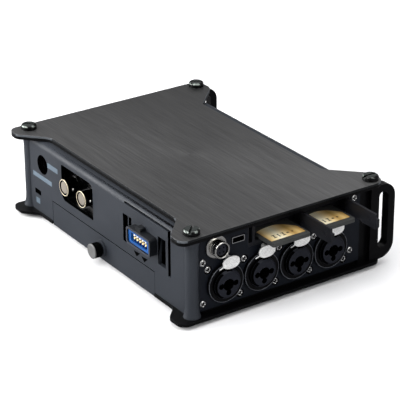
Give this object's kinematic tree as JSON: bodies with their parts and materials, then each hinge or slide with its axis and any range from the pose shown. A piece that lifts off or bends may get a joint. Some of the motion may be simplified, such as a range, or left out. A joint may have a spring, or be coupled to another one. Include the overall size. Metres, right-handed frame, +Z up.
{
  "type": "portable multitrack field recorder",
  "caption": "Metal-cased portable sound recorder with combination inputs down both sides, hinged card bays, a battery drawer, rear connectors and guard handles.",
  "frame": {"origin": "centre of the four base bolt holes, on the underside of the bottom cover; the rubber feet reach 2.2 mm below it", "axes": "+X towards inputs 5 to 8, -X towards inputs 1 to 4 and the card bays, -Y towards the control panel, +Y towards the rear connectors, +Z up"},
  "size_m": [0.2021, 0.1402, 0.0543],
  "materials": {
    "body_paint": "fine satin blue-grey paint",
    "brushed_cover": "brushed along the width, dark anodised",
    "black_paint": "fine textured black paint",
    "dark_chrome": "polished",
    "zinc": "bright plated",
    "feet_rubber": "matte",
    "panel_paint": "matte charcoal paint",
    "housing_plastic": "satin moulded",
    "insert_plastic": "satin moulded",
    "nickel": "nickel plated",
    "socket_plastic": "matte moulded",
    "shroud_plastic": "satin moulded",
    "blue_plastic": "satin moulded",
    "bay_plastic": "matte moulded",
    "front_plastic": "matte moulded",
    "lens": "clear over a dark display",
    "board": "solder mask",
    "cell_sleeve": "shrink sleeve over steel",
    "screw_steel": "satin cap over a knurled black edge",
    "card_plastic": "satin moulded, gold label",
    "bright_metal": "polished",
    "knob_plastic": "soft matte",
    "key_clear": "translucent",
    "key_grey": "satin moulded"
  },
  "bodies": {
    "body": {"chassis": "body_paint", "top_cover": "brushed_cover", "bottom_cover": "black_paint", "corner_screws": "dark_chrome", "panel_screws": "zinc", "rubber_feet": "feet_rubber", "side_panels": "panel_paint", "guard_handles": "black_paint", "combo_housings": "housing_plastic", "combo_inserts": "insert_plastic", "bnc_jacks": "nickel", "jack_sockets": "socket_plastic", "power_inlet": "nickel", "side_ports": "zinc", "capsule_shroud": "shroud_plastic", "capsule_insert": "blue_plastic", "sd_bay": "bay_plastic", "front_panel": "front_plastic", "display_lens": "lens", "main_board": "board"},
    "drawer": {"battery_drawer": "body_paint", "battery_cells": "cell_sleeve"},
    "drawer_screw": {"thumbscrew": "screw_steel"},
    "card_1": {"sd_card_1": "card_plastic"},
    "door_1": {"sd_door_1": "bay_plastic"},
    "card_2": {"sd_card_2": "card_plastic"},
    "door_2": {"sd_door_2": "bay_plastic"},
    "latch_1": {"latch_1": "bright_metal"},
    "latch_2": {"latch_2": "bright_metal"},
    "latch_3": {"latch_3": "bright_metal"},
    "latch_4": {"latch_4": "bright_metal"},
    "latch_5": {"latch_5": "bright_metal"},
    "latch_6": {"latch_6": "bright_metal"},
    "latch_7": {"latch_7": "bright_metal"},
    "latch_8": {"latch_8": "bright_metal"},
    "trim_1": {"trim_knob_1": "knob_plastic"},
    "pfl_1": {"pfl_key_1": "key_clear"},
    "trim_2": {"trim_knob_2": "knob_plastic"},
    "pfl_2": {"pfl_key_2": "key_clear"},
    "trim_3": {"trim_knob_3": "knob_plastic"},
    "pfl_3": {"pfl_key_3": "key_clear"},
    "trim_4": {"trim_knob_4": "knob_plastic"},
    "pfl_4": {"pfl_key_4": "key_clear"},
    "trim_5": {"trim_knob_5": "knob_plastic"},
    "pfl_5": {"pfl_key_5": "key_clear"},
    "trim_6": {"trim_knob_6": "knob_plastic"},
    "pfl_6": {"pfl_key_6": "key_clear"},
    "trim_7": {"trim_knob_7": "knob_plastic"},
    "pfl_7": {"pfl_key_7": "key_clear"},
    "trim_8": {"trim_knob_8": "knob_plastic"},
    "pfl_8": {"pfl_key_8": "key_clear"},
    "rewind": {"rewind_key": "key_grey"},
    "stop": {"stop_key": "key_grey"},
    "play": {"play_key": "key_grey"},
    "forward": {"forward_key": "key_grey"},
    "record": {"record_key": "key_grey"},
    "menu": {"menu_key": "key_grey"},
    "power": {"power_key": "key_grey"},
    "select": {"select_knob": "knob_plastic"},
    "volume": {"volume_knob": "knob_plastic"}
  },
  "joints": [
    {"name": "battery_drawer_slide", "type": "slide", "parent": "body", "child": "drawer", "axis": [0, 1, 0], "range_m": [0, 0.055]},
    {"name": "battery_screw_turn", "type": "hinge", "parent": "drawer", "child": "drawer_screw", "pos_m": [0.00235, 0.06, 0.0062], "axis": [0, 1, 0], "continuous": true},
    {"name": "card_1_slide", "type": "slide", "parent": "body", "child": "card_1", "axis": [1, 0, 0], "range_m": [0, 0.02]},
    {"name": "door_1_hinge", "type": "hinge", "parent": "body", "child": "door_1", "pos_m": [-0.085, -0.01075, 0.0396], "axis": [0, 0, -1], "range_deg": [0, 90]},
    {"name": "card_2_slide", "type": "slide", "parent": "body", "child": "card_2", "axis": [1, 0, 0], "range_m": [0, 0.02]},
    {"name": "door_2_hinge", "type": "hinge", "parent": "body", "child": "door_2", "pos_m": [-0.085, -0.04035, 0.0396], "axis": [0, 0, -1], "range_deg": [0, 90]},
    {"name": "input_1_latch", "type": "slide", "parent": "body", "child": "latch_1", "axis": [1, 0, 0], "range_m": [0, 0.0008]},
    {"name": "input_2_latch", "type": "slide", "parent": "body", "child": "latch_2", "axis": [1, 0, 0], "range_m": [0, 0.0008]},
    {"name": "input_3_latch", "type": "slide", "parent": "body", "child": "latch_3", "axis": [1, 0, 0], "range_m": [0, 0.0008]},
    {"name": "input_4_latch", "type": "slide", "parent": "body", "child": "latch_4", "axis": [1, 0, 0], "range_m": [0, 0.0008]},
    {"name": "input_5_latch", "type": "slide", "parent": "body", "child": "latch_5", "axis": [-1, 0, 0], "range_m": [0, 0.0008]},
    {"name": "input_6_latch", "type": "slide", "parent": "body", "child": "latch_6", "axis": [-1, 0, 0], "range_m": [0, 0.0008]},
    {"name": "input_7_latch", "type": "slide", "parent": "body", "child": "latch_7", "axis": [-1, 0, 0], "range_m": [0, 0.0008]},
    {"name": "input_8_latch", "type": "slide", "parent": "body", "child": "latch_8", "axis": [-1, 0, 0], "range_m": [0, 0.0008]},
    {"name": "trim_1_turn", "type": "hinge", "parent": "body", "child": "trim_1", "pos_m": [-0.07, -0.0552, 0.0335], "axis": [0, -1, 0], "range_deg": [-140, 140]},
    {"name": "pfl_1_press", "type": "slide", "parent": "body", "child": "pfl_1", "axis": [0, 1, 0], "range_m": [0, 0.0008]},
    {"name": "trim_2_turn", "type": "hinge", "parent": "body", "child": "trim_2", "pos_m": [-0.056, -0.0552, 0.0335], "axis": [0, -1, 0], "range_deg": [-140, 140]},
    {"name": "pfl_2_press", "type": "slide", "parent": "body", "child": "pfl_2", "axis": [0, 1, 0], "range_m": [0, 0.0008]},
    {"name": "trim_3_turn", "type": "hinge", "parent": "body", "child": "trim_3", "pos_m": [-0.042, -0.0552, 0.0335], "axis": [0, -1, 0], "range_deg": [-140, 140]},
    {"name": "pfl_3_press", "type": "slide", "parent": "body", "child": "pfl_3", "axis": [0, 1, 0], "range_m": [0, 0.0008]},
    {"name": "trim_4_turn", "type": "hinge", "parent": "body", "child": "trim_4", "pos_m": [-0.028, -0.0552, 0.0335], "axis": [0, -1, 0], "range_deg": [-140, 140]},
    {"name": "pfl_4_press", "type": "slide", "parent": "body", "child": "pfl_4", "axis": [0, 1, 0], "range_m": [0, 0.0008]},
    {"name": "trim_5_turn", "type": "hinge", "parent": "body", "child": "trim_5", "pos_m": [-0.07, -0.0552, 0.0145], "axis": [0, -1, 0], "range_deg": [-140, 140]},
    {"name": "pfl_5_press", "type": "slide", "parent": "body", "child": "pfl_5", "axis": [0, 1, 0], "range_m": [0, 0.0008]},
    {"name": "trim_6_turn", "type": "hinge", "parent": "body", "child": "trim_6", "pos_m": [-0.056, -0.0552, 0.0145], "axis": [0, -1, 0], "range_deg": [-140, 140]},
    {"name": "pfl_6_press", "type": "slide", "parent": "body", "child": "pfl_6", "axis": [0, 1, 0], "range_m": [0, 0.0008]},
    {"name": "trim_7_turn", "type": "hinge", "parent": "body", "child": "trim_7", "pos_m": [-0.042, -0.0552, 0.0145], "axis": [0, -1, 0], "range_deg": [-140, 140]},
    {"name": "pfl_7_press", "type": "slide", "parent": "body", "child": "pfl_7", "axis": [0, 1, 0], "range_m": [0, 0.0008]},
    {"name": "trim_8_turn", "type": "hinge", "parent": "body", "child": "trim_8", "pos_m": [-0.028, -0.0552, 0.0145], "axis": [0, -1, 0], "range_deg": [-140, 140]},
    {"name": "pfl_8_press", "type": "slide", "parent": "body", "child": "pfl_8", "axis": [0, 1, 0], "range_m": [0, 0.0008]},
    {"name": "key_rewind_press", "type": "slide", "parent": "body", "child": "rewind", "axis": [0, 1, 0], "range_m": [0, 0.0008]},
    {"name": "key_stop_press", "type": "slide", "parent": "body", "child": "stop", "axis": [0, 1, 0], "range_m": [0, 0.0008]},
    {"name": "key_play_press", "type": "slide", "parent": "body", "child": "play", "axis": [0, 1, 0], "range_m": [0, 0.0008]},
    {"name": "key_forward_press", "type": "slide", "parent": "body", "child": "forward", "axis": [0, 1, 0], "range_m": [0, 0.0008]},
    {"name": "key_record_press", "type": "slide", "parent": "body", "child": "record", "axis": [0, 1, 0], "range_m": [0, 0.0008]},
    {"name": "key_menu_press", "type": "slide", "parent": "body", "child": "menu", "axis": [0, 1, 0], "range_m": [0, 0.0008]},
    {"name": "key_power_press", "type": "slide", "parent": "body", "child": "power", "axis": [0, 1, 0], "range_m": [0, 0.0008]},
    {"name": "select_turn", "type": "hinge", "parent": "body", "child": "select", "pos_m": [0.058, -0.0552, 0.027], "axis": [0, -1, 0], "continuous": true},
    {"name": "volume_turn", "type": "hinge", "parent": "body", "child": "volume", "pos_m": [0.074, -0.0552, 0.0225], "axis": [0, -1, 0], "range_deg": [-140, 140]}
  ],
  "couplings": [
    {"joint": "card_1_slide", "follows": "door_1_hinge", "m_per_rad": 0.012732},
    {"joint": "card_2_slide", "follows": "door_2_hinge", "m_per_rad": 0.012732}
  ]
}
